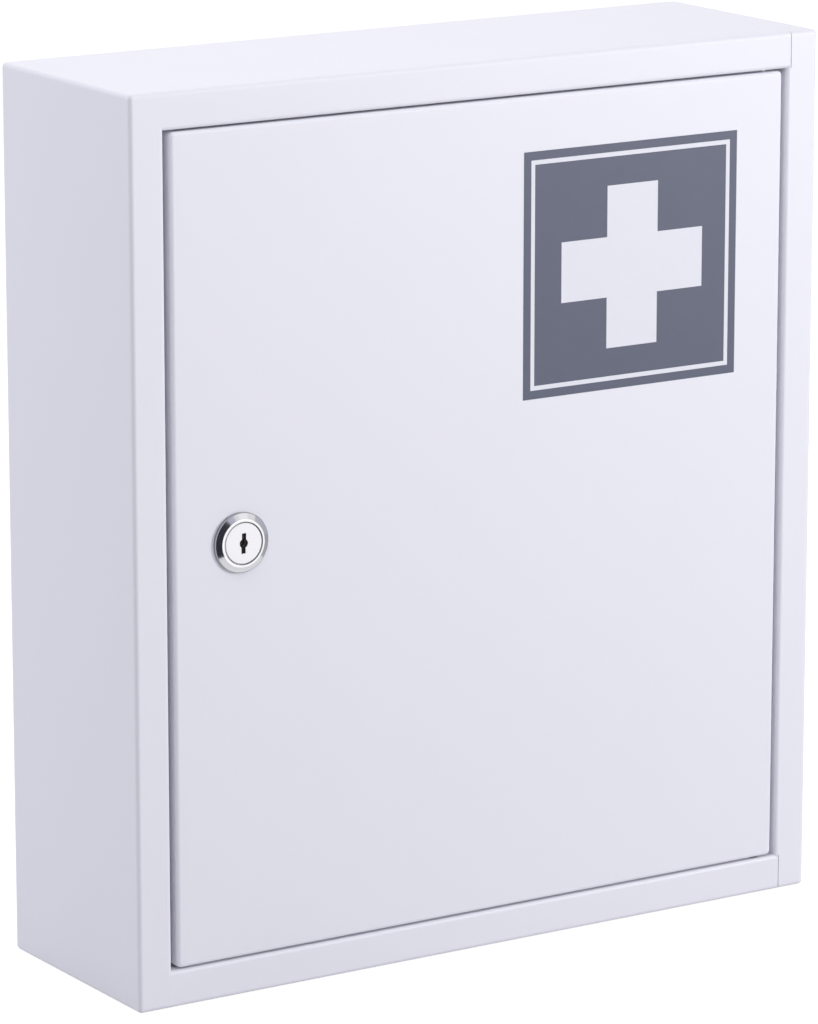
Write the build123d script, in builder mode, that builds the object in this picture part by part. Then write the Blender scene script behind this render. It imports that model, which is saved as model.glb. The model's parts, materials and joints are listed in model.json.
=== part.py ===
"""Lockable wall cabinet for medicines: a bent sheet-steel case, a flush hinged door and a cam lock.

X runs along the front from left to right, Y from the front to the wall, and Z up.
The origin is the middle of the case's base. All sizes are in millimetres.
"""
import os

from build123d import *

# Case: outside sizes, sheet and bends
case_width = 320.0
case_height = 360.0
case_depth = 100.0
case_sheet = 0.8
case_bend = 1.8
frame_width = 14.8
frame_lip = 14.0
frame_bend = 1.6
rear_flange = 12.0
seam = 0.35

# Back panel and its wall holes
back_sheet = 0.8
back_play = 0.4
wall_hole_radius = 3.0
wall_hole_inset = 40.0

# Shelves
shelf_sheet = 0.8
shelf_bend = 1.6
shelf_edge = 10.0
shelf_set_back = 24.0
shelf_spacing = 120.0

# Door pan and the gaps round it
hinge_gap = 2.3
latch_gap = 2.7
end_gap = 0.8
door_sheet = 0.8
door_depth = 13.0
door_bend = 1.6
door_corner = 1.8
door_hem = 8.0
hem_bend = 0.9
hem_relief = 3.0

# Hinge: pins in the case's lips, bushes in the door's returns
pivot_inset = 6.8
pivot_depth = 5.0
pin_radius = 1.5
pin_reach = 6.0
pin_head_radius = 3.0
pin_head = 1.4
pin_chamfer = 0.5
pin_fit = 0.05
bush_wall = 0.8
bush_length = 5.0
bush_flange_radius = 3.0
bush_flange = 1.0
hinge_washer_radius = 3.0
hinge_play = 0.1
plate_width = 26.0
plate_thickness = 1.5
plate_depth = 12.0
plate_corner = 3.0

# Door stops and their rubber bumpers
stop_thickness = 1.2
stop_height = 24.0
stop_bend = 2.0
stop_weld = 8.0
stop_reach = 13.0
stop_from_end = 54.0
bumper_radius = 3.5
bumper_height = 1.8
bumper_edge = 0.6
bumper_gap = 0.3

# Lock, near the middle of the door's height
lock_from_edge = 29.5
lock_above_middle = 2.5
bezel_radius = 12.0
bezel_rim = 1.3
bezel_rim_edge = 0.3
bezel_rise = 2.7
rim_radius = 9.5
rim_round = 0.25
barrel_radius = 9.5
barrel_flats = 16.0
barrel_clearance = 0.2
plug_head_radius = 8.2
plug_head_gap = 0.4
plug_head = 1.6
plug_face_drop = 0.1
plug_edge = 0.3
plug_radius = 6.0
plug_fit = 0.05
plug_play = 0.1
keyway_width = 2.2
keyway_height = 8.0
keyway_step = 0.3
keyway_eye_radius = 1.85
keyway_depth = 9.0

# Lock fixing, quarter-turn stop and cam
toothed_washer_radius = 13.0
toothed_washer_thickness = 0.8
tooth_count = 16
tooth_gap = 2.0
tooth_depth = 1.5
nut_flats = 24.0
nut_thickness = 4.0
nut_chamfer = 0.8
cam_play = 1.0
cam_thickness = 2.0
cam_length = 39.0
cam_hub_radius = 8.0
cam_tip_width = 11.0
cam_tip_round = 3.0
drive_square = 8.0
drive_short = 0.2
stop_washer_thickness = 1.2
stop_disc_radius = 7.0
stop_tab_radius = 9.0
stop_tab_angle = 30.0
stop_play_angle = 2.5
stop_ring_height = 0.9
stop_ring_gap = 0.3
quarter_turn = 90.0
spring_washer_radius = 5.0
spring_washer_thickness = 0.8
spring_washer_split = 0.8
screw_radius = 2.0
screw_length = 8.0
screw_head_radius = 4.0
screw_head = 2.4
screw_edge = 0.6
cross_slot = 1.0
cross_depth = 1.2

# Planes of the case
front = -case_depth / 2
back = case_depth / 2
left = -case_width / 2
right = case_width / 2
opening_left = left + frame_width
opening_right = right - frame_width
opening_bottom = frame_width
opening_top = case_height - frame_width

# Edges of the door
door_left = opening_left + latch_gap
door_right = opening_right - hinge_gap
door_bottom = opening_bottom + end_gap
door_top = opening_top - end_gap
door_width = door_right - door_left
door_height = door_top - door_bottom
door_middle = ((door_left + door_right) / 2, (door_bottom + door_top) / 2)
door_back = front + door_depth

# Axes that things turn on
pivot = (door_right - pivot_inset, front + pivot_depth)
lock = (door_left + lock_from_edge, door_middle[1] + lock_above_middle)
lock_axis = Axis((lock[0], front, lock[1]), (0, 1, 0))

# Depths along the lock, from the case's front
cam_front = front + max(frame_lip, door_depth) + cam_play
cam_back = cam_front + cam_thickness
stop_front = cam_front - stop_washer_thickness
barrel_end = stop_front - plug_play
rim_front = front - bezel_rise
plug_face = rim_front + plug_face_drop
recess_floor = plug_face + plug_head + plug_play

# Straight down, in degrees, in a sketch that faces the front
downward = 270.0

written = []


def across(y):
    """A plane across the cabinet at depth y, with X to the right and Z up. Extruding by a minus goes back."""
    return Plane.XZ.offset(-y)


def lock_plane(y):
    """As across(), with its origin on the lock's axis."""
    return Plane((lock[0], y, lock[1]), x_dir=(1, 0, 0), z_dir=(0, -1, 0))


def rectangle_between(x_low, x_high, z_low, z_high):
    """A rectangle in an across() sketch, given by its edges."""
    with Locations(((x_low + x_high) / 2, (z_low + z_high) / 2)):
        Rectangle(x_high - x_low, z_high - z_low)


def finish(part, name):
    """Labels a finished piece and writes its file."""
    part.label = name
    export_step(part, f"parts/{name}.step")
    written.append(name)


os.makedirs("parts", exist_ok=True)

# ---------------------------------------------------------------- case

# The space inside the bent sheet.
with BuildPart() as case_inside:
    inside = (case_width - 2 * case_sheet, case_depth - 2 * case_sheet, case_height - 2 * case_sheet)
    with Locations((0, 0, case_height / 2)):
        Box(*inside)
    fillet(case_inside.edges(), case_bend - case_sheet)

with BuildPart() as body_shell:
    with Locations((0, 0, case_height / 2)):
        Box(case_width, case_depth, case_height)
    fillet(body_shell.edges(), case_bend)
    add(case_inside.part, mode=Mode.SUBTRACT)

    # The lip turns inward all round the door's opening.
    with BuildSketch(across(front + case_sheet / 2)):
        rectangle_between(opening_left - case_sheet, opening_right + case_sheet,
                          opening_bottom - case_sheet, opening_top + case_sheet)
    extrude(amount=-(frame_lip - case_sheet / 2))
    frame_inside = body_shell.faces().filter_by(Axis.Y).group_by(Axis.Y)[1][0]
    fillet(frame_inside.inner_wires()[0].edges(), frame_bend - case_sheet)
    with BuildSketch(across(front)):
        rectangle_between(opening_left, opening_right, opening_bottom, opening_top)
    extrude(amount=-frame_lip, mode=Mode.SUBTRACT)
    frame_outside = body_shell.faces().sort_by(Axis.Y)[0]
    fillet(frame_outside.inner_wires()[0].edges(), frame_bend)

    # The rear stays open between narrow flanges.
    with BuildSketch(across(back - case_bend)):
        rectangle_between(left + rear_flange, right - rear_flange, rear_flange, case_height - rear_flange)
    extrude(amount=-case_bend, mode=Mode.SUBTRACT)

    # The side flanges run the full height, and the others meet them at a fine seam. The front's
    # two left-hand seams are filled and painted over.
    seam_x = right - frame_width + frame_bend + seam / 2
    rear_seam_x = right - rear_flange - seam / 2
    with BuildSketch(across(front)):
        rectangle_between(seam_x - seam / 2, seam_x + seam / 2, 0, opening_bottom)
        rectangle_between(seam_x - seam / 2, seam_x + seam / 2, opening_top, case_height)
    extrude(amount=-case_bend, mode=Mode.SUBTRACT)
    with BuildSketch(across(back - case_bend)):
        for x in (-rear_seam_x, rear_seam_x):
            rectangle_between(x - seam / 2, x + seam / 2, 0, rear_flange)
            rectangle_between(x - seam / 2, x + seam / 2, case_height - rear_flange, case_height)
    extrude(amount=-case_bend, mode=Mode.SUBTRACT)

    # The hinge pins pass through the top and bottom lips.
    for z in (opening_bottom - case_sheet, opening_top):
        with BuildSketch(Plane.XY.offset(z)):
            with Locations(pivot):
                Circle(pin_radius)
        extrude(amount=case_sheet, mode=Mode.SUBTRACT)
finish(body_shell.part, "body_shell")

# The back panel lies against the rear flanges' inner faces.
back_panel_front = back - case_sheet - back_sheet
with BuildPart() as back_panel:
    with BuildSketch(across(back_panel_front)):
        rectangle_between(left + case_bend + back_play, right - case_bend - back_play,
                          case_bend + back_play, case_height - case_bend - back_play)
        for x in (left + wall_hole_inset, right - wall_hole_inset):
            with Locations((x, wall_hole_inset), (x, case_height - wall_hole_inset)):
                Circle(wall_hole_radius, mode=Mode.SUBTRACT)
    extrude(amount=-back_sheet)
finish(back_panel.part, "back_panel")

# Each shelf is a tray upside down, spot welded to the sides by its end flanges. It ends where the
# sides' rear bends begin.
shelf_front = front + shelf_set_back
shelf_depth = back - case_bend - shelf_front
for name, shelf_top in (("lower", shelf_spacing), ("upper", 2 * shelf_spacing)):
    with BuildPart() as shelf:
        with BuildSketch(Plane.XY.offset(shelf_top - shelf_edge)):
            with Locations((0, shelf_front + shelf_depth / 2)):
                Rectangle(case_width - 2 * case_sheet, shelf_depth)
        extrude(amount=shelf_edge)
        upper_edges = shelf.faces().sort_by(Axis.Z)[-1].edges()
        fillet(upper_edges.sort_by(Axis.Y)[:-1], shelf_bend)
        open_faces = [shelf.faces().sort_by(Axis.Z)[0], shelf.faces().sort_by(Axis.Y)[-1]]
        offset(amount=-shelf_sheet, openings=open_faces)
    finish(shelf.part, f"{name}_shelf")

# ---------------------------------------------------------------- hinges

# Each hinge is listed from the case's lip: its name, the lip's face in the gap, and the way to the door.
for name, lip_face, inward in (("lower", opening_bottom, 1), ("upper", opening_top, -1)):
    plate_face = lip_face - inward * case_sheet
    plate_outside = plate_face - inward * plate_thickness
    door_face = lip_face + inward * end_gap

    with BuildPart() as hinge_plate:
        with BuildSketch(Plane.XY.offset(plate_face)):
            with Locations((pivot[0], front + frame_lip - plate_depth / 2)):
                RectangleRounded(plate_width, plate_depth, plate_corner)
            with Locations(pivot):
                Circle(pin_radius, mode=Mode.SUBTRACT)
        extrude(amount=-inward * plate_thickness)
    finish(hinge_plate.part, f"{name}_hinge_plate")

    with BuildPart() as hinge_pin:
        with BuildSketch(Plane.XY.offset(plate_outside)):
            with Locations(pivot):
                Circle(pin_radius)
        extrude(amount=inward * (plate_thickness + case_sheet + end_gap + pin_reach))
        tip = hinge_pin.faces().filter_by(Axis.Z).sort_by(Axis.Z)[-1 if inward > 0 else 0]
        chamfer(tip.edges(), pin_chamfer)
        with BuildSketch(Plane.XY.offset(plate_outside)):
            with Locations(pivot):
                Circle(pin_head_radius)
        extrude(amount=-inward * pin_head)
        head = hinge_pin.faces().filter_by(Axis.Z).sort_by(Axis.Z)[0 if inward > 0 else -1]
        chamfer(head.edges(), pin_chamfer)
    finish(hinge_pin.part, f"{name}_hinge_pin")

    with BuildPart() as hinge_bush:
        with BuildSketch(Plane.XY.offset(door_face)):
            with Locations(pivot):
                Circle(pin_radius + pin_fit + bush_wall)
        extrude(amount=inward * bush_length)
        with BuildSketch(Plane.XY.offset(door_face + inward * door_sheet)):
            with Locations(pivot):
                Circle(bush_flange_radius)
        extrude(amount=inward * bush_flange)
        with BuildSketch(Plane.XY.offset(door_face)):
            with Locations(pivot):
                Circle(pin_radius + pin_fit)
        extrude(amount=inward * bush_length, mode=Mode.SUBTRACT)
    finish(hinge_bush.part, f"{name}_hinge_bush")

# The door rests on this washer, on the bottom lip.
with BuildPart() as lower_hinge_washer:
    with BuildSketch(Plane.XY.offset(opening_bottom)):
        with Locations(pivot):
            Circle(hinge_washer_radius)
            Circle(pin_radius, mode=Mode.SUBTRACT)
    extrude(amount=end_gap - hinge_play)
finish(lower_hinge_washer.part, "lower_hinge_washer")

# ---------------------------------------------------------------- door stops

stop_face = door_back + bumper_gap + bumper_height
stop_root = opening_left - case_sheet
bumper_x = door_left + door_hem / 2
for name, z in (("lower", door_bottom + stop_from_end), ("upper", door_top - stop_from_end)):
    with BuildPart() as door_stop:
        with BuildSketch(Plane.XY.offset(z - stop_height / 2)):
            with BuildLine():
                Polyline(
                    (stop_root - stop_thickness, front + frame_lip - stop_weld),
                    (stop_root, front + frame_lip - stop_weld),
                    (stop_root, stop_face),
                    (stop_root + stop_reach, stop_face),
                    (stop_root + stop_reach, stop_face + stop_thickness),
                    (stop_root - stop_thickness, stop_face + stop_thickness),
                    close=True,
                )
            make_face()
        extrude(amount=stop_height)
        outer_corner = door_stop.edges().filter_by(Axis.Z).group_by(Axis.Y)[-1].sort_by(Axis.X)[0]
        fillet(outer_corner, stop_bend)
        tip_corners = door_stop.edges().filter_by(Axis.Y).group_by(Axis.X)[-1]
        fillet(tip_corners, stop_bend)
    finish(door_stop.part, f"{name}_door_stop")

    with BuildPart() as bumper:
        with BuildSketch(across(stop_face)):
            with Locations((bumper_x, z)):
                Circle(bumper_radius)
        extrude(amount=bumper_height)
        chamfer(bumper.faces().sort_by(Axis.Y)[0].edges(), bumper_edge)
    finish(bumper.part, f"{name}_bumper")

# ---------------------------------------------------------------- door

with BuildPart() as door_panel:
    with BuildSketch(across(front)):
        with Locations(door_middle):
            RectangleRounded(door_width, door_height, door_corner)
    extrude(amount=-door_depth)
    fillet(door_panel.faces().sort_by(Axis.Y)[0].edges(), door_bend)
    offset(amount=-door_sheet, openings=door_panel.faces().sort_by(Axis.Y)[-1])

    # The returned edges are folded inward round the back. The four folds meet in mitres, each with
    # a relief notch at the corner.
    with BuildSketch(across(door_back)):
        with Locations(door_middle):
            RectangleRounded(door_width, door_height, door_corner)
            Rectangle(door_width - 2 * door_hem, door_height - 2 * door_hem, mode=Mode.SUBTRACT)
    extrude(amount=door_sheet)
    with BuildSketch(across(door_back)):
        with Locations(door_middle):
            with GridLocations(door_width, door_height, 2, 2):
                Rectangle(2 * hem_relief, 2 * hem_relief)
    extrude(amount=hem_relief, mode=Mode.SUBTRACT)
    with BuildSketch(across(door_back)):
        with Locations((door_left, door_bottom), (door_right, door_top)):
            Rectangle(seam, 4 * door_hem, rotation=-45)
        with Locations((door_left, door_top), (door_right, door_bottom)):
            Rectangle(seam, 4 * door_hem, rotation=45)
    extrude(amount=door_sheet, mode=Mode.SUBTRACT)
    folds = door_panel.faces().filter_by(Axis.Y).group_by(Axis.Y)[-1]
    fillet([fold.edges().sort_by(SortBy.LENGTH)[-1] for fold in folds], hem_bend)

    # The lock's hole has the barrel's two flats.
    with BuildSketch(across(front)):
        with Locations(lock):
            Circle(barrel_radius + barrel_clearance)
            Rectangle(barrel_flats + 2 * barrel_clearance, 3 * barrel_radius, mode=Mode.INTERSECT)
    extrude(amount=-door_sheet, mode=Mode.SUBTRACT)

    # The bushes sit in holes through the top and bottom returns.
    with BuildSketch(Plane.XY.offset(door_bottom)):
        with Locations(pivot):
            Circle(pin_radius + pin_fit + bush_wall)
    extrude(amount=door_height, mode=Mode.SUBTRACT)
finish(door_panel.part, "door_panel")

# ---------------------------------------------------------------- lock

# Bezel and barrel are one casting. A wide bevel runs from its thin rim up to the raised ring.
with BuildPart() as lock_housing:
    with BuildSketch(Plane((lock[0], front, lock[1]))):
        with BuildLine():
            Polyline(
                (rim_radius - rim_round, -bezel_rise),
                (plug_head_radius + plug_head_gap, -bezel_rise),
                (plug_head_radius + plug_head_gap, recess_floor - front),
                (plug_radius + plug_fit, recess_floor - front),
                (plug_radius + plug_fit, 0),
                (bezel_radius, 0),
                (bezel_radius, bezel_rim_edge - bezel_rim),
                (bezel_radius - bezel_rim_edge, -bezel_rim),
                (rim_radius, rim_round - bezel_rise),
                close=True,
            )
        make_face()
    revolve(axis=lock_axis)
    with BuildSketch(lock_plane(front)):
        Circle(barrel_radius)
        Rectangle(barrel_flats, 3 * barrel_radius, mode=Mode.INTERSECT)
        Circle(plug_radius + plug_fit, mode=Mode.SUBTRACT)
    extrude(amount=front - barrel_end)

    # The quarter-turn stop is a raised part ring on the barrel's end, open over the tab's travel.
    with BuildSketch(lock_plane(barrel_end)):
        Circle(barrel_radius)
        Rectangle(barrel_flats, 3 * barrel_radius, mode=Mode.INTERSECT)
        Circle(stop_disc_radius + stop_ring_gap, mode=Mode.SUBTRACT)
        with BuildLine():
            swing_start = downward + stop_tab_angle / 2 + stop_play_angle
            swing = quarter_turn + stop_tab_angle + 2 * stop_play_angle
            opening_arc = CenterArc((0, 0), 2 * barrel_radius, swing_start, -swing)
            Line((0, 0), opening_arc @ 0)
            Line((0, 0), opening_arc @ 1)
        make_face(mode=Mode.SUBTRACT)
    extrude(amount=-stop_ring_height)
finish(lock_housing.part, "lock_housing")

# The plug's head shows in the bezel, its stem turns in the barrel and its square end drives the cam.
with BuildPart() as lock_plug:
    with BuildSketch(lock_plane(plug_face)):
        Circle(plug_head_radius)
    extrude(amount=-plug_head)
    chamfer(lock_plug.faces().sort_by(Axis.Y)[0].edges(), plug_edge)
    with BuildSketch(lock_plane(plug_face + plug_head)):
        Circle(plug_radius)
    extrude(amount=plug_face + plug_head - stop_front)
    with BuildSketch(lock_plane(stop_front)):
        Rectangle(drive_square, drive_square)
    extrude(amount=drive_short - stop_washer_thickness - cam_thickness)

    # The keyway is two offset slots through a round eye.
    with BuildSketch(lock_plane(plug_face)):
        Circle(keyway_eye_radius)
        with Locations((keyway_step / 2, keyway_height / 4), (-keyway_step / 2, -keyway_height / 4)):
            Rectangle(keyway_width - keyway_step, keyway_height / 2)
    extrude(amount=-keyway_depth, mode=Mode.SUBTRACT)
    with BuildSketch(lock_plane(cam_back)):
        Circle(screw_radius)
    extrude(amount=screw_length, mode=Mode.SUBTRACT)
finish(lock_plug.part, "lock_plug")

# A washer that bites the sheet, and the nut, hold the housing in the door.
with BuildPart() as lock_toothed_washer:
    with BuildSketch(lock_plane(front + door_sheet)):
        Circle(toothed_washer_radius)
        with PolarLocations(toothed_washer_radius, tooth_count):
            Rectangle(2 * tooth_depth, tooth_gap, mode=Mode.SUBTRACT)
        Circle(barrel_radius + barrel_clearance, mode=Mode.SUBTRACT)
    extrude(amount=-toothed_washer_thickness)
finish(lock_toothed_washer.part, "lock_toothed_washer")

nut_front = front + door_sheet + toothed_washer_thickness
with BuildPart() as lock_nut:
    with BuildSketch(lock_plane(nut_front)):
        RegularPolygon(nut_flats / 2, 6, major_radius=False)
    extrude(amount=-nut_thickness)
    chamfer(lock_nut.faces().sort_by(Axis.Y)[-1].edges(), nut_chamfer)
    with BuildSketch(lock_plane(nut_front)):
        Circle(barrel_radius)
    extrude(amount=-nut_thickness, mode=Mode.SUBTRACT)
finish(lock_nut.part, "lock_nut")

# The stop washer turns with the plug until its tab meets an end of the part ring.
with BuildPart() as stop_washer:
    with BuildSketch(lock_plane(stop_front)):
        with BuildLine():
            tab_arc = CenterArc((0, 0), stop_tab_radius, downward - stop_tab_angle / 2, stop_tab_angle)
            Line((0, 0), tab_arc @ 0)
            Line((0, 0), tab_arc @ 1)
        make_face()
        Circle(stop_disc_radius)
        Rectangle(drive_square, drive_square, mode=Mode.SUBTRACT)
    extrude(amount=-stop_washer_thickness)
finish(stop_washer.part, "stop_washer")

# Unlocked, the cam hangs straight down. A quarter turn brings it behind the case's left lip.
with BuildPart() as lock_cam:
    with BuildSketch(lock_plane(cam_front)):
        with BuildLine():
            Polyline(
                (-cam_hub_radius, 0),
                (-cam_tip_width / 2, -cam_length),
                (cam_tip_width / 2, -cam_length),
                (cam_hub_radius, 0),
                close=True,
            )
        make_face()
        fillet(vertices().sort_by(Axis.Y)[:2], cam_tip_round)
        Circle(cam_hub_radius)
        Rectangle(drive_square, drive_square, mode=Mode.SUBTRACT)
    extrude(amount=-cam_thickness)
finish(lock_cam.part, "lock_cam")

with BuildPart() as cam_spring_washer:
    with BuildSketch(lock_plane(cam_back)):
        Circle(spring_washer_radius)
        Circle(screw_radius, mode=Mode.SUBTRACT)
        with Locations((spring_washer_radius, 0)):
            Rectangle(2 * spring_washer_radius, spring_washer_split, mode=Mode.SUBTRACT)
    extrude(amount=-spring_washer_thickness)
finish(cam_spring_washer.part, "cam_spring_washer")

with BuildPart() as cam_screw:
    with BuildSketch(lock_plane(cam_back + spring_washer_thickness)):
        Circle(screw_head_radius)
    extrude(amount=-screw_head)
    chamfer(cam_screw.faces().sort_by(Axis.Y)[-1].edges(), screw_edge)
    with BuildSketch(lock_plane(cam_back + spring_washer_thickness)):
        Circle(screw_radius)
    extrude(amount=spring_washer_thickness + screw_length)
    with BuildSketch(lock_plane(cam_back + spring_washer_thickness + screw_head)):
        Rectangle(cross_slot, screw_head_radius)
        Rectangle(screw_head_radius, cross_slot)
    extrude(amount=cross_depth, mode=Mode.SUBTRACT)
finish(cam_screw.part, "cam_screw")

print(len(written), "pieces written")
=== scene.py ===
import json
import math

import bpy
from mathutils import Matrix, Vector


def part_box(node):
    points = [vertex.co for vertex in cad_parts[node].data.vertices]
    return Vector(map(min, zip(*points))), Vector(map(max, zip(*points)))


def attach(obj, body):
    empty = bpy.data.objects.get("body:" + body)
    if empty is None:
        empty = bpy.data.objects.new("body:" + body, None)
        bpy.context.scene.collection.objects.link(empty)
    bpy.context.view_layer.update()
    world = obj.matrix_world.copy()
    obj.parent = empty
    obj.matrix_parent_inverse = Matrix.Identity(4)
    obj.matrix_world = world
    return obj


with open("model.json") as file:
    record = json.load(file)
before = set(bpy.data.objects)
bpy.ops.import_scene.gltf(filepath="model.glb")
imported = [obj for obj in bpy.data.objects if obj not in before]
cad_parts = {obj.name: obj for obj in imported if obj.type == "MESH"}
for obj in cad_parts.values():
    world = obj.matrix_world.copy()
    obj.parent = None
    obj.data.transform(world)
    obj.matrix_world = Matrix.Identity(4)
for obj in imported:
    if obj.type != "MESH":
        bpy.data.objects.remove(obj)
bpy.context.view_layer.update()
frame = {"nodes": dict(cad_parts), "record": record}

# A small lockable medicine cabinet: powder-coated sheet steel, a chromed cam lock and a printed
# first-aid sign. X runs along the front, Y from the front to the wall and Z up, from the middle
# of the case's base.

MM = 0.001

# ---------------------------------------------------------------- sizes, in metres

case_low, case_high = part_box("body_shell")
lock_low, lock_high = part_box("lock_housing")
nut_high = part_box("lock_nut")[1]
plug_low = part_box("lock_plug")[0]

front = case_low.y
half_height = case_high.z / 2
lock_x = (lock_low.x + lock_high.x) / 2
lock_z = (lock_low.z + lock_high.z) / 2

# The sign and its cross, measured from the case's left side and base
SIGN_LEFT = 177.6 * MM
SIGN_RIGHT = 280.5 * MM
SIGN_BOTTOM = 223.1 * MM
SIGN_TOP = 322.4 * MM
SIGN_BORDER = 3.5 * MM
SIGN_LINE = 1.8 * MM
SIGN_FILM = 0.06 * MM
CROSS_MIDDLE_X = 229.7 * MM
CROSS_MIDDLE_Z = 272.7 * MM
CROSS_WIDTH = 68.1 * MM
CROSS_HEIGHT = 65.7 * MM
CROSS_ARM = 24.4 * MM

# Marks in the case's coat: a slightly raised seam with a painted highlight along it, measured from the left
# side, and spot welds, from the rear's edges
SEAM_INSET = 14.4 * MM
SEAM_HALF_WIDTH = 0.25 * MM
SEAM_HEIGHT = 14.0 * MM
WELD_INSET = 7 * MM
WELD_PITCH = 60 * MM
WELD_RADIUS = 2.4 * MM
MARK_REACH = 0.3 * MM
MARK_DEPTH = 0.35 * MM

# Radii on the lock's face: the shadowed groove round the plug, painted grey, with the plug's own wall
# on its inner side painted darker as shade, then the polished ring, the bevel painted darker as a dimmer
# reflection, and the rim painted dark as shade
KEYWAY_REACH = 4.4 * MM
GROOVE_INSIDE = 7.93 * MM
GROOVE_WALL = 8.3 * MM
GROOVE_OUTSIDE = 8.65 * MM
RING_OUTSIDE = 9.55 * MM
BEVEL_OUTSIDE = 11.65 * MM

# Depths behind the plug's face where the groove and the keyway's painted shade begin, and the bands down the
# keyway
GROOVE_DEPTH = 0.04 * MM
KEYWAY_DEPTH = 0.15 * MM
WAFER_PITCH = 2.2 * MM
WAFER_HALF_WIDTH = 0.25 * MM

# The lock's barrel, behind the front, and the threads between its nut and its stop ring
BARREL_START = 1.0 * MM
BARREL_RADIUS = 9.5 * MM
BARREL_HALF_FLATS = 8.0 * MM
STOP_RING = 0.9 * MM
THREAD_PITCH = 1.0 * MM
THREAD_HEIGHT = 0.35 * MM
THREAD_SINK = 0.05 * MM
THREAD_AFTER_NUT = 0.6 * MM
THREAD_BEFORE_RING = 0.8 * MM
THREAD_ARC_POINTS = 33
RIDGE_CORNERS = 4

# Fine relief: the coat's orange peel, which the ink shows too, and rings left by turning
PEEL_SIZE = 1.8 * MM
PEEL_DEPTH = 0.006 * MM
TURNED_DEPTH = 0.002 * MM

# Half the length of the floor's sides, and its level just below the base
FLOOR_HALF = 6.0
FLOOR_LEVEL = -0.2 * MM


# ---------------------------------------------------------------- nodes


class Value:
    """A number that varies over a surface. Arithmetic on it adds Math nodes to its finish."""

    def __init__(self, finish, socket):
        self.finish = finish
        self.socket = socket

    def math(self, operation, *terms):
        return self.finish.node("ShaderNodeMath", {"operation": operation}, dict(enumerate(terms)))

    def __add__(self, other):
        return self.math("ADD", self, other)

    def __sub__(self, other):
        return self.math("SUBTRACT", self, other)

    def __rsub__(self, other):
        return self.math("SUBTRACT", other, self)

    def __mul__(self, other):
        return self.math("MULTIPLY", self, other)

    def __truediv__(self, other):
        return self.math("DIVIDE", self, other)

    def __abs__(self):
        return self.math("ABSOLUTE", self)

    def __lt__(self, other):
        return self.math("LESS_THAN", self, other)

    def __gt__(self, other):
        return self.math("GREATER_THAN", self, other)

    def __and__(self, other):
        return self.math("MULTIPLY", self, other)

    def hypot(self, other):
        return self.math("SQRT", self * self + other * other)

    def nearest(self, pitch):
        """How far this is from the nearest whole multiple of a pitch."""
        return self.math("PINGPONG", self, pitch / 2)

    __radd__ = __add__
    __rmul__ = __mul__


def feed(tree, socket, value):
    """Links a socket to another node's output, or sets it to a plain value."""
    if isinstance(value, Value):
        value = value.socket
    if isinstance(value, bpy.types.NodeSocket):
        tree.links.new(value, socket)
    else:
        socket.default_value = value


def add_node(tree, kind, settings=None, inputs=None):
    """Adds a node: its settings first, then its sockets' values or links. Gives its outputs."""
    node = tree.nodes.new(kind)
    for setting, value in (settings or {}).items():
        setattr(node, setting, value)
    for key, value in (inputs or {}).items():
        feed(tree, node.inputs[key], value)
    return node.outputs


def opaque(colour):
    """A plain colour with its alpha added, or a value as it is."""
    return (*colour, 1.0) if isinstance(colour, tuple) else colour


def new_object(name, data):
    """A new object in the scene."""
    thing = bpy.data.objects.new(name, data)
    bpy.context.scene.collection.objects.link(thing)
    return thing


# ---------------------------------------------------------------- materials


class Finish:
    """A material with one Principled shader, and one method that adds any other node."""

    def __init__(self, name, **constants):
        self.material = bpy.data.materials.new(name)
        self.material.use_nodes = True
        self.tree = self.material.node_tree
        self.shader = self.tree.nodes["Principled BSDF"]
        self.surface(**constants)

    def surface(self, **sockets):
        """Feeds the shader's sockets, by their names, and gives the material."""
        for name, value in sockets.items():
            feed(self.tree, self.shader.inputs[name.replace("_", " ")], value)
        return self.material

    def node(self, kind, settings=None, inputs=None, output=0):
        """Adds a node and gives one of its outputs."""
        return Value(self, add_node(self.tree, kind, settings, inputs)[output])

    def place(self):
        """The place in the cabinet's own frame, in metres."""
        return self.node("ShaderNodeTexCoord", output="Object")

    def axes(self, place):
        """X, Y and Z of a place."""
        split = add_node(self.tree, "ShaderNodeSeparateXYZ", inputs={0: place})
        return [Value(self, output) for output in split]

    def streaks(self, place, squeeze, tilt=0.0):
        """A place squeezed along Z, so that noise on it runs in streaks, and tilted about Y."""
        inputs = {"Vector": place, "Rotation": (0.0, tilt, 0.0), "Scale": (1.0, 1.0, squeeze)}
        return self.node("ShaderNodeMapping", inputs=inputs)

    def noise(self, place, size, detail=2.0, roughness=0.5):
        """Noise from 0 to 1 whose lumps are about one size across, in metres."""
        inputs = {"Vector": place, "Scale": 1 / size, "Detail": detail, "Roughness": roughness}
        return self.node("ShaderNodeTexNoise", inputs=inputs)

    def turned_rings(self, distance, width):
        """Noise from 0 to 1 in bands of about one width, like the rings that turning leaves."""
        inputs = {"W": distance / width, "Detail": 1.0}
        return self.node("ShaderNodeTexNoise", {"noise_dimensions": "1D"}, inputs)

    def mix(self, share, first, second):
        """One colour turning into another. The numbers are the mixing node's colour sockets."""
        inputs = {0: share, 6: opaque(first), 7: opaque(second)}
        return self.node("ShaderNodeMix", {"data_type": "RGBA"}, inputs, output=2)

    def bump(self, height, depth, strength=1.0, below=None):
        """Relief as high as the height times the depth, on top of any relief below it."""
        inputs = {"Height": height, "Distance": depth, "Strength": strength}
        if below is not None:
            inputs["Normal"] = below
        return self.node("ShaderNodeBump", inputs=inputs)


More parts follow.
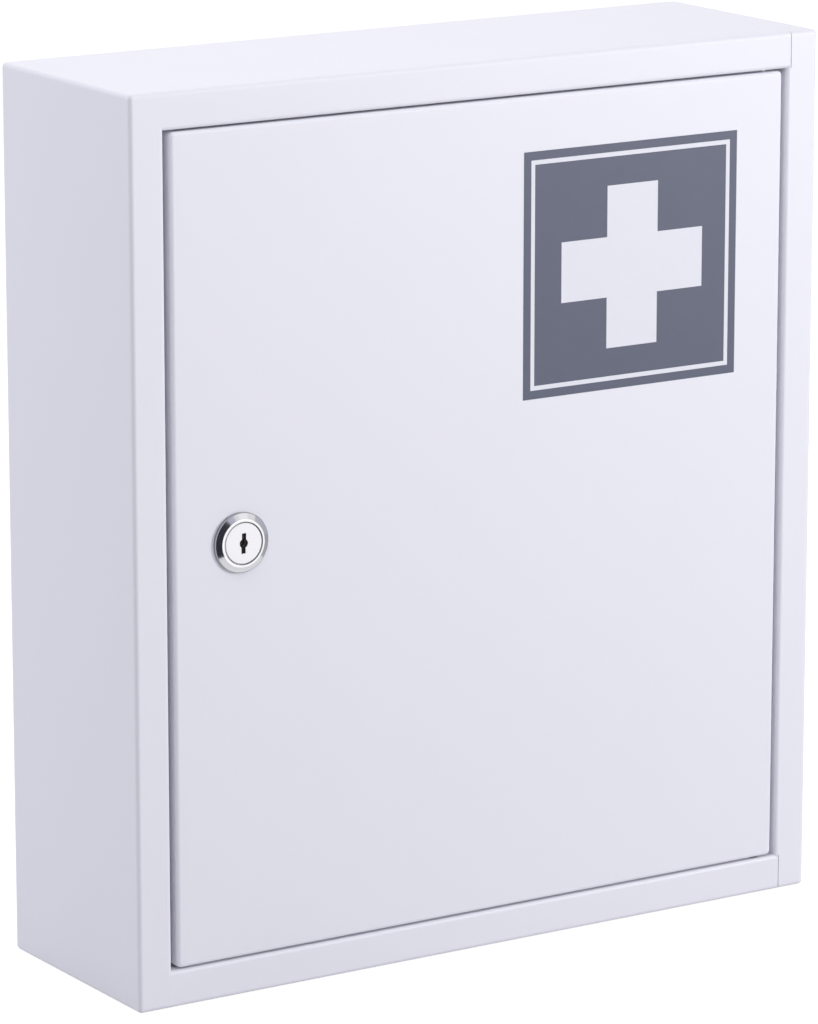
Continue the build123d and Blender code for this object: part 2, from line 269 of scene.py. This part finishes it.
def powder_coat(name, marks=None):
    """White powder coat: a fine orange peel, a grainy sheen and a film that is a little uneven."""
    thin_film = (0.822, 0.818, 0.882)
    full_film = (0.838, 0.832, 0.894)
    seam_highlight_tint = (0.870, 0.865, 0.915)
    coat = Finish(name, Specular_IOR_Level=0.4)
    place = coat.place()
    film = coat.noise(place, size=70 * MM, detail=3.0)
    peel = coat.noise(place, size=PEEL_SIZE, detail=1.0)
    grain = coat.noise(place, size=0.35 * MM)
    colour = coat.mix(film, thin_film, full_film)
    normal = coat.bump(peel, depth=PEEL_DEPTH)
    if marks:
        height, seam_highlight_share = marks(*coat.axes(place))
        normal = coat.bump(height, depth=MARK_DEPTH, below=normal)
        # The seam's lighter line is a painted highlight
        colour = coat.mix(seam_highlight_share, colour, seam_highlight_tint)
    return coat.surface(Base_Color=colour, Roughness=0.36 + 0.10 * grain, Normal=normal)


def case_marks(x, y, z):
    """The raised seam low on the left of the front, with a painted highlight along it, and the spot welds
    along the rear flanges.
    """
    seam_rise = 0.1
    # How strongly the painted highlight shows along the seam
    seam_highlight_strength = 0.6
    weld_softness = 0.3
    on_front = y < front + MARK_REACH
    seam_x = case_low.x + SEAM_INSET
    seam = (abs(x - seam_x) < SEAM_HALF_WIDTH) & on_front & (z < SEAM_HEIGHT)
    on_rear = y > case_high.y - MARK_REACH
    from_side_line = abs(abs(x) - (case_high.x - WELD_INSET))
    from_end_line = abs(abs(z - half_height) - (half_height - WELD_INSET))
    from_side_weld = from_side_line.hypot((z - half_height).nearest(WELD_PITCH))
    from_end_weld = from_end_line.hypot(x.nearest(WELD_PITCH))
    from_weld = from_side_weld.math("MINIMUM", from_side_weld, from_end_weld)
    crater = from_weld.math("SMOOTH_MIN", from_weld / WELD_RADIUS, 1.0, weld_softness)
    height = on_rear * crater + (1 - on_rear) + seam_rise * seam
    return height, seam_highlight_strength * seam


def sign_print(name, dark, light):
    """Screen print: a thin even ink with a faint mottle and a slightly duller sheen than the coat."""
    ink = Finish(name, Specular_IOR_Level=0.4)
    place = ink.place()
    mottle = ink.noise(place, size=6 * MM, detail=4.0)
    grain = ink.noise(place, size=0.5 * MM)
    peel = ink.noise(place, size=PEEL_SIZE, detail=1.0)
    colour = ink.mix(mottle, dark, light)
    normal = ink.bump(peel, depth=PEEL_DEPTH)
    return ink.surface(Base_Color=colour, Roughness=0.4 + 0.12 * grain, Normal=normal)


def lock_chrome():
    """Bright chrome with fine turned rings and duller on the barrel, with painted shade in the keyway, the
    groove and on the rim, and a bevel painted darker as a dimmer reflection.
    """
    face_tint = (0.915, 0.905, 0.935)
    ring_tint = (0.97, 0.97, 0.98)
    # The bevel's darker chrome is a painted dimmer reflection, and the rim's dark tint is painted shade
    bevel_painted_reflection = (0.66, 0.66, 0.69)
    rim_painted_shade = (0.36, 0.36, 0.40)
    # Painted shade down the keyway, with lighter bands for the wafers' edges
    keyway_painted_shade = (0.14, 0.13, 0.13)
    wafer_tint = (0.86, 0.80, 0.76)
    # Painted tones for the shaded groove, and darker painted shade on its inner wall
    groove_painted_shade = (0.80, 0.80, 0.84)
    groove_wall_painted_shade = (0.55, 0.55, 0.58)
    barrel_tint = (0.60, 0.60, 0.61)

    chrome = Finish("lock_chrome")
    place = chrome.place()
    x, y, z = chrome.axes(place)
    radius = (x - lock_x).hypot(z - lock_z)
    depth = y - plug_low.y
    grain = chrome.noise(place, size=0.4 * MM, detail=3.0)
    rings = chrome.turned_rings(radius, width=0.12 * MM)

    proud = y < front
    keyway = (depth > KEYWAY_DEPTH) & (radius < KEYWAY_REACH)
    wafer = depth.nearest(WAFER_PITCH) < WAFER_HALF_WIDTH
    face = (radius < GROOVE_INSIDE) & proud & (1 - keyway)
    groove = (depth > GROOVE_DEPTH) & (radius > GROOVE_INSIDE) & (radius < GROOVE_OUTSIDE) & proud
    ring = (radius > GROOVE_OUTSIDE) & (radius < RING_OUTSIDE) & proud
    bevel = (radius > RING_OUTSIDE) & proud
    rim = (radius > BEVEL_OUTSIDE) & proud
    barrel = (y > front + BARREL_START) & (1 - keyway)

    colour = chrome.mix(ring, face_tint, ring_tint)
    # The mixes below paint a dimmer reflection into the bevel, and shade into the rim, the keyway, the
    # groove and the groove's inner wall
    colour = chrome.mix(bevel, colour, bevel_painted_reflection)
    colour = chrome.mix(rim, colour, rim_painted_shade)
    colour = chrome.mix(keyway, colour, keyway_painted_shade)
    colour = chrome.mix(keyway & wafer, colour, wafer_tint)
    colour = chrome.mix(groove, colour, groove_painted_shade)
    colour = chrome.mix(groove & (radius < GROOVE_WALL), colour, groove_wall_painted_shade)
    colour = chrome.mix(barrel, colour, barrel_tint)
    polish = 0.05 + 0.05 * grain + 0.15 * face + 0.06 * bevel
    roughness = polish + 0.25 * barrel + 0.25 * keyway + 0.3 * groove
    metal = 1 - 0.45 * face - 0.7 * groove - 0.4 * keyway
    normal = chrome.bump(rings, depth=TURNED_DEPTH, strength=0.5)
    return chrome.surface(Base_Color=colour, Metallic=metal, Roughness=roughness, Normal=normal)


def zinc_plate(name, dark, light, scuffed):
    """Zinc on pressed steel: two greys in faint clouds, a rolled grain and a few fine scratches."""
    zinc = Finish(name, Metallic=1.0)
    place = zinc.place()
    rolled = zinc.streaks(place, squeeze=0.08)
    scraped = zinc.streaks(place, squeeze=0.02, tilt=0.5)
    scratch_limit = 0.74
    clouds = zinc.noise(place, size=4 * MM, detail=4.0)
    grain = zinc.noise(rolled, size=0.2 * MM)
    scratch = zinc.noise(scraped, size=0.6 * MM, detail=0.0) > scratch_limit
    worn = tuple(0.9 * part for part in scuffed)
    colour = zinc.mix(clouds, dark, light)
    colour = zinc.mix(0.3 * grain, colour, worn)
    colour = zinc.mix(0.4 * scratch, colour, scuffed)
    roughness = 0.28 + 0.08 * clouds + 0.06 * grain
    normal = zinc.bump(grain, depth=0.0015 * MM)
    return zinc.surface(Base_Color=colour, Roughness=roughness, Normal=normal)


def ground_steel():
    """Hinge pins of ground bright steel, with fine rings round them from turning."""
    dull = (0.82, 0.82, 0.84)
    bright = (0.90, 0.90, 0.91)
    steel = Finish("ground_steel", Metallic=1.0)
    place = steel.place()
    along_pin = steel.axes(place)[2]
    rings = steel.turned_rings(along_pin, width=0.15 * MM)
    haze = steel.noise(place, size=1.5 * MM, detail=3.0)
    colour = steel.mix(haze, dull, bright)
    normal = steel.bump(rings, depth=TURNED_DEPTH)
    return steel.surface(Base_Color=colour, Roughness=0.10 + 0.10 * haze, Normal=normal)


def nylon():
    """Natural nylon, milky and slightly waxy, with mould grain."""
    cream = (0.80, 0.79, 0.75)
    milk = (0.86, 0.85, 0.82)
    plastic = Finish("nylon", Subsurface_Weight=0.15, Subsurface_Scale=0.5 * MM)
    place = plastic.place()
    cloud = plastic.noise(place, size=2 * MM, detail=3.0)
    grain = plastic.noise(place, size=0.25 * MM)
    colour = plastic.mix(cloud, cream, milk)
    normal = plastic.bump(grain, depth=0.01 * MM)
    return plastic.surface(Base_Color=colour, Roughness=0.38 + 0.15 * grain, Normal=normal)


def bumper_rubber():
    """Soft clear rubber that has greyed slightly."""
    clear_grey = (0.66, 0.67, 0.68)
    dusty_grey = (0.76, 0.76, 0.75)
    rubber = Finish("bumper_rubber", Transmission_Weight=0.35, IOR=1.45)
    dust = rubber.noise(rubber.place(), size=1.2 * MM, detail=4.0)
    colour = rubber.mix(dust, clear_grey, dusty_grey)
    normal = rubber.bump(dust, depth=0.01 * MM)
    return rubber.surface(Base_Color=colour, Roughness=0.3 + 0.25 * dust, Normal=normal)


def paint(node_name, material):
    """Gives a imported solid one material."""
    mesh = frame["nodes"][node_name].data
    mesh.materials.clear()
    mesh.materials.append(material)


finish_of_slot = {
    "case_paint": powder_coat("case_powder_coat", case_marks),
    "door_paint": powder_coat("door_powder_coat"),
    "lock_chrome": lock_chrome(),
    "zinc_steel": zinc_plate(
        "zinc_plate", dark=(0.42, 0.43, 0.46), light=(0.60, 0.59, 0.57), scuffed=(0.78, 0.78, 0.78)),
    "white_plastic": nylon(),
    "bumper_rubber": bumper_rubber(),
}
for part in frame["record"]["subparts"]:
    paint(part["node"], finish_of_slot[part["material_slot"]])

# The lower washer is painted near black as painted shade, so that it stays dark in the gap under the door
lower_washer_painted_shade = zinc_plate(
    "lower_washer_painted_shade", dark=(0.10, 0.10, 0.12), light=(0.16, 0.16, 0.17), scuffed=(0.30, 0.30, 0.30))
paint("lower_hinge_washer", lower_washer_painted_shade)
pin_steel = ground_steel()
paint("lower_hinge_pin", pin_steel)
paint("upper_hinge_pin", pin_steel)


# ---------------------------------------------------------------- the printed sign


def print_sign():
    """The sign as one thin film: a dark border, a white line, and a dark field round a white cross."""
    left = case_low.x + SIGN_LEFT
    right = case_low.x + SIGN_RIGHT
    cross_x = case_low.x + CROSS_MIDDLE_X
    cross_z = CROSS_MIDDLE_Z
    line_x = (left + SIGN_BORDER, right - SIGN_BORDER)
    line_z = (SIGN_BOTTOM + SIGN_BORDER, SIGN_TOP - SIGN_BORDER)
    field_x = (line_x[0] + SIGN_LINE, line_x[1] - SIGN_LINE)
    field_z = (line_z[0] + SIGN_LINE, line_z[1] - SIGN_LINE)
    arm_x = (cross_x - CROSS_ARM / 2, cross_x + CROSS_ARM / 2)
    arm_z = (cross_z - CROSS_ARM / 2, cross_z + CROSS_ARM / 2)
    tip_x = (cross_x - CROSS_WIDTH / 2, cross_x + CROSS_WIDTH / 2)
    tip_z = (cross_z - CROSS_HEIGHT / 2, cross_z + CROSS_HEIGHT / 2)

    def within(value, span):
        return span[0] < value < span[1]

    def is_white(x, z):
        in_line = within(x, line_x) and within(z, line_z)
        in_field = within(x, field_x) and within(z, field_z)
        in_upright = within(x, arm_x) and within(z, tip_z)
        in_bar = within(x, tip_x) and within(z, arm_z)
        return (in_line and not in_field) or in_upright or in_bar

    xs = sorted((left, *line_x, *field_x, *tip_x, *arm_x, right))
    zs = sorted((SIGN_BOTTOM, *line_z, *field_z, *tip_z, *arm_z, SIGN_TOP))
    face_y = front - SIGN_FILM
    points = [(x, face_y, z) for z in zs for x in xs]
    faces = []
    whites = []
    for row in range(len(zs) - 1):
        for column in range(len(xs) - 1):
            corner = row * len(xs) + column
            faces.append((corner, corner + 1, corner + 1 + len(xs), corner + len(xs)))
            middle_x = (xs[column] + xs[column + 1]) / 2
            middle_z = (zs[row] + zs[row + 1]) / 2
            whites.append(is_white(middle_x, middle_z))

    slate = sign_print("sign_slate", dark=(0.094, 0.104, 0.155), light=(0.102, 0.113, 0.166))
    chalk = sign_print("sign_white", dark=(0.770, 0.775, 0.835), light=(0.785, 0.790, 0.850))
    mesh = bpy.data.meshes.new("first_aid_sign")
    mesh.from_pydata(points, [], faces)
    mesh.materials.append(slate)
    mesh.materials.append(chalk)
    for polygon, white in zip(mesh.polygons, whites):
        polygon.material_index = 1 if white else 0
    sign = new_object("first_aid_sign", mesh)
    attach(sign, "door")


print_sign()


# ---------------------------------------------------------------- threads on the barrel


class Repeat:
    """A Geometry Nodes tree with named inputs, each with its kind and its size."""

    def __init__(self, name, sizes):
        self.tree = bpy.data.node_groups.new(name, "GeometryNodeTree")
        self.sizes = sizes
        self.tree.interface.new_socket("Geometry", in_out="OUTPUT", socket_type="NodeSocketGeometry")
        for label, (kind, _) in sizes.items():
            self.tree.interface.new_socket(label, in_out="INPUT", socket_type=kind)
        self.given = add_node(self.tree, "NodeGroupInput")

    def node(self, kind, settings=None, inputs=None):
        """Adds a node and gives its outputs."""
        return add_node(self.tree, kind, settings, inputs)

    def finish(self, geometry, material):
        """Ends the tree in real geometry with its material."""
        whole = self.node("GeometryNodeRealizeInstances", inputs={0: geometry})[0]
        finished = self.node("GeometryNodeSetMaterial", inputs={0: whole, "Material": material})[0]
        self.node("NodeGroupOutput", inputs={0: finished})

    def make(self, name):
        """Runs the tree on an empty mesh and keeps the result as a plain object."""
        holder = new_object(name, bpy.data.meshes.new(name))
        modifier = holder.modifiers.new(name, "NODES")
        modifier.node_group = self.tree
        for item in self.tree.interface.items_tree:
            if item.in_out == "INPUT":
                modifier[item.identifier] = self.sizes[item.name][1]
        bpy.context.view_layer.update()
        evaluated = holder.evaluated_get(bpy.context.evaluated_depsgraph_get())
        mesh = bpy.data.meshes.new_from_object(evaluated)
        holder.modifiers.clear()
        holder.data = mesh
        return holder


def cut_threads():
    """Thread ridges on the two round sides of the barrel, repeated along it behind the nut."""
    start_y = nut_high.y + THREAD_AFTER_NUT
    end_y = lock_high.y - STOP_RING - THREAD_BEFORE_RING
    count = int((end_y - start_y) / THREAD_PITCH) + 1
    half_arc = math.asin(BARREL_HALF_FLATS / BARREL_RADIUS)
    threads = Repeat("barrel_threads", {
        "Pitch": ("NodeSocketFloat", THREAD_PITCH),
        "Count": ("NodeSocketInt", count),
        "Barrel radius": ("NodeSocketFloat", BARREL_RADIUS - THREAD_SINK),
        "Thread height": ("NodeSocketFloat", THREAD_HEIGHT + THREAD_SINK),
        "Arc": ("NodeSocketFloat", 2 * half_arc),
    })
    size = threads.given
    arc = threads.node("GeometryNodeCurveArc", {"mode": "RADIUS"}, {
        "Resolution": THREAD_ARC_POINTS, "Radius": size["Barrel radius"],
        "Start Angle": math.pi / 2 - half_arc, "Sweep Angle": size["Arc"]})
    profile = threads.node("GeometryNodeCurvePrimitiveCircle", {"mode": "RADIUS"}, {
        "Resolution": RIDGE_CORNERS, "Radius": size["Thread height"]})
    ridge = threads.node("GeometryNodeCurveToMesh", inputs={
        "Curve": arc[0], "Profile Curve": profile[0], "Fill Caps": True})
    step = threads.node("ShaderNodeCombineXYZ", inputs={"Z": size["Pitch"]})
    row = threads.node("GeometryNodeMeshLine", {"mode": "OFFSET"}, {
        "Count": size["Count"], "Offset": step[0]})
    both = threads.node("GeometryNodeJoinGeometry")
    for turn in (0.0, math.pi):
        ridges = threads.node("GeometryNodeInstanceOnPoints", inputs={
            "Points": row[0], "Instance": ridge[0], "Rotation": (0.0, 0.0, turn)})
        threads.tree.links.new(ridges[0], both[0].node.inputs[0])
    laid = threads.node("GeometryNodeTransform", inputs={
        "Geometry": both[0], "Rotation": (math.pi / 2, 0.0, 0.0),
        "Translation": (lock_x, end_y, lock_z)})
    threads.finish(laid[0], finish_of_slot["lock_chrome"])
    ridges = threads.make("barrel_threads")
    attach(ridges, "door")


cut_threads()


# ---------------------------------------------------------------- stage, light and camera


def seen_directly(tree):
    """1 for rays from the camera and for those that metal mirrors or clear surfaces pass on."""
    rays = add_node(tree, "ShaderNodeLightPath")
    clamped_sum = {"operation": "ADD", "use_clamp": True}
    total = rays["Is Camera Ray"]
    for kind in ("Is Glossy Ray", "Is Transmission Ray"):
        total = add_node(tree, "ShaderNodeMath", clamped_sum, {0: total, 1: rays[kind]})[0]
    return total


def studio_floor():
    """A plain floor that reads as white and still takes a soft shadow. Metal mirrors it as plain white."""
    corners = [
        (-FLOOR_HALF, -FLOOR_HALF, FLOOR_LEVEL),
        (FLOOR_HALF, -FLOOR_HALF, FLOOR_LEVEL),
        (FLOOR_HALF, FLOOR_HALF, FLOOR_LEVEL),
        (-FLOOR_HALF, FLOOR_HALF, FLOOR_LEVEL),
    ]
    mesh = bpy.data.meshes.new("studio_floor")
    mesh.from_pydata(corners, [], [(0, 1, 2, 3)])
    floor = new_object("studio_floor", mesh)
    material = bpy.data.materials.new("studio_floor")
    material.use_nodes = True
    tree = material.node_tree
    tree.nodes.clear()

    def shader(kind, **inputs):
        return add_node(tree, kind, inputs=inputs)[0]

    def mix(share, first, second):
        return add_node(tree, "ShaderNodeMixShader", inputs={0: share, 1: first, 2: second})[0]

    bounce = shader("ShaderNodeBsdfDiffuse", Color=(0.60, 0.60, 0.62, 1.0))
    mirrored = shader("ShaderNodeEmission", Strength=1.0)
    shadow = shader("ShaderNodeBsdfDiffuse", Color=(0.28, 0.28, 0.28, 1.0))
    glow = shader("ShaderNodeEmission", Strength=0.90)
    shown = add_node(tree, "ShaderNodeAddShader", inputs={0: shadow, 1: glow})[0]
    unseen = mix(seen_directly(tree), bounce, mirrored)
    camera_ray = add_node(tree, "ShaderNodeLightPath")["Is Camera Ray"]
    add_node(tree, "ShaderNodeOutputMaterial", inputs={0: mix(camera_ray, unseen, shown)})
    mesh.materials.append(material)


def studio_world():
    """White behind everything, and a cool even fill on the object."""
    world = bpy.data.worlds.new("studio")
    world.use_nodes = True
    tree = world.node_tree
    tree.nodes.clear()
    fill = add_node(tree, "ShaderNodeBackground", inputs={
        "Color": (0.94, 0.94, 1.0, 1.0), "Strength": 0.54})
    white = add_node(tree, "ShaderNodeBackground", inputs={
        "Color": (1.0, 1.0, 1.0, 1.0), "Strength": 1.0})
    mix = add_node(tree, "ShaderNodeMixShader", inputs={
        0: seen_directly(tree), 1: fill[0], 2: white[0]})
    add_node(tree, "ShaderNodeOutputWorld", inputs={0: mix[0]})
    bpy.context.scene.world = world


def soft_light(name, place, aim, size, power, colour=(1.0, 1.0, 1.0), mirrored=True):
    """A square lamp aimed at a point, in metres and watts. Unmirrored, it shows in no shiny surface."""
    lamp = bpy.data.lights.new(name, "AREA")
    lamp.shape = "SQUARE"
    lamp.size = size
    lamp.energy = power
    lamp.color = colour
    light = new_object(name, lamp)
    light.location = place
    light.visible_glossy = mirrored
    light.rotation_euler = (Vector(aim) - Vector(place)).to_track_quat("-Z", "Y").to_euler()


def mirrored_card(name, tone, corners):
    """A plain glowing card that shows only in shiny and clear surfaces. Its tone is what they show."""
    mesh = bpy.data.meshes.new(name)
    mesh.from_pydata(corners, [], [(0, 1, 2, 3)])
    card = new_object(name, mesh)
    finish = Finish(name, Base_Color=(0.0, 0.0, 0.0, 1.0), Specular_IOR_Level=0.0,
                    Emission_Color=opaque(tone), Emission_Strength=1.0)
    mesh.materials.append(finish.material)
    card.visible_camera = False
    card.visible_diffuse = False
    card.visible_shadow = False


studio_floor()
studio_world()

soft_light("key", place=(1.27, -1.32, 0.45), aim=(0.05, 0.0, 0.20), size=0.5, power=15.2)
soft_light("high_front", place=(-0.20, -0.44, 0.95), aim=(0.0, 0.0, 0.20), size=0.6, power=1.65,
           mirrored=False)
soft_light("left_fill", place=(-0.95, 0.60, 0.60), aim=(-0.16, 0.0, 0.20), size=0.3, power=3.35,
           colour=(0.94, 0.94, 1.0))
soft_light("rear_fill", place=(0.30, 1.00, 1.20), aim=(0.0, 0.05, 0.20), size=0.8, power=7.3,
           colour=(0.98, 0.97, 1.0), mirrored=False)

# Cards for the lock to mirror. The first two share an edge, as a dark wall and the dark floor before it.
mirrored_card("dark_card", (0.04, 0.04, 0.055), [
    (-0.80, -0.95, 0.0), (-0.22, -1.10, 0.0), (-0.12, -1.10, 0.95), (-0.80, -0.95, 0.95)])
mirrored_card("dark_floor", (0.04, 0.04, 0.055), [
    (-0.30, -0.24, 0.0), (-0.12, -0.31, 0.0), (-0.22, -1.10, 0.0), (-0.80, -0.95, 0.0)])
mirrored_card("violet_card", (0.62, 0.62, 0.75), [
    (-0.12, -1.05, 0.55), (0.12, -1.00, 0.55), (0.12, -0.90, 1.1), (-0.12, -0.95, 1.1)])
mirrored_card("bright_card", (1.2, 1.2, 1.2), [
    (0.40, -1.20, 0.70), (0.85, -0.95, 0.70), (0.85, -0.80, 1.2), (0.40, -1.05, 1.2)])
mirrored_card("grey_card", (0.58, 0.58, 0.64), [
    (1.30, -0.90, 0.0), (1.30, 0.60, 0.0), (1.30, 0.60, 0.75), (1.30, -0.90, 0.75)])
mirrored_card("grey_floor", (0.46, 0.46, 0.49), [
    (0.20, -0.30, 0.0), (1.30, -0.60, 0.0), (1.30, 0.60, 0.0), (0.20, 0.30, 0.0)])

look_down_degrees = 13.22
turn_right_degrees = 32.66
camera_data = bpy.data.cameras.new("camera")
camera_data.lens = 193.5
camera_data.clip_end = 30.0
camera = new_object("camera", camera_data)
camera.location = (-1.1699, -1.8191, 0.6783)
camera.rotation_euler = (math.radians(90 - look_down_degrees), 0.0, math.radians(-turn_right_degrees))
bpy.context.scene.camera = camera

bpy.context.scene.view_settings.view_transform = "Standard"
